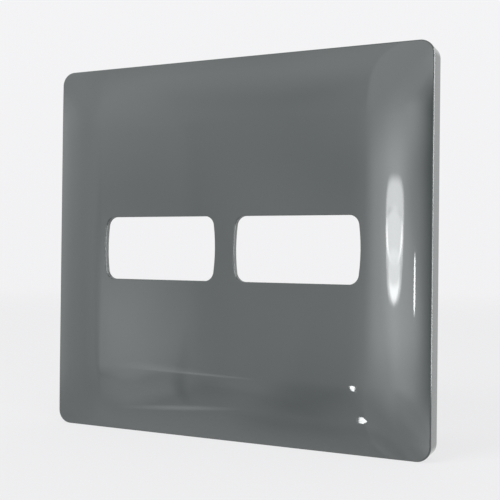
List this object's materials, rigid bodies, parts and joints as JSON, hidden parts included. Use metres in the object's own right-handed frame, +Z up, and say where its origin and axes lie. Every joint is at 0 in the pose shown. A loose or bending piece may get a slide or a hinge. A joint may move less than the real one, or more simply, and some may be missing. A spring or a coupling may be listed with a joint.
{
  "type": "switch plate",
  "caption": "Two-gang flush switch cover plate: pillowed glossy front with two module windows side by side, straight skirt, hollow ribbed back with snap legs.",
  "frame": {"origin": "middle of the plate on the wall plane, which is the plane of the back rim", "axes": "+X to the right as seen from the front, +Z up, +Y into the wall; the front looks along -Y"},
  "size_m": [0.122, 0.0098, 0.114],
  "materials": {
    "plate": "high-gloss moulded plastic, cool mid grey, satin on the back"
  },
  "bodies": {
    "root": {"switch_plate": "plate"}
  },
  "joints": []
}
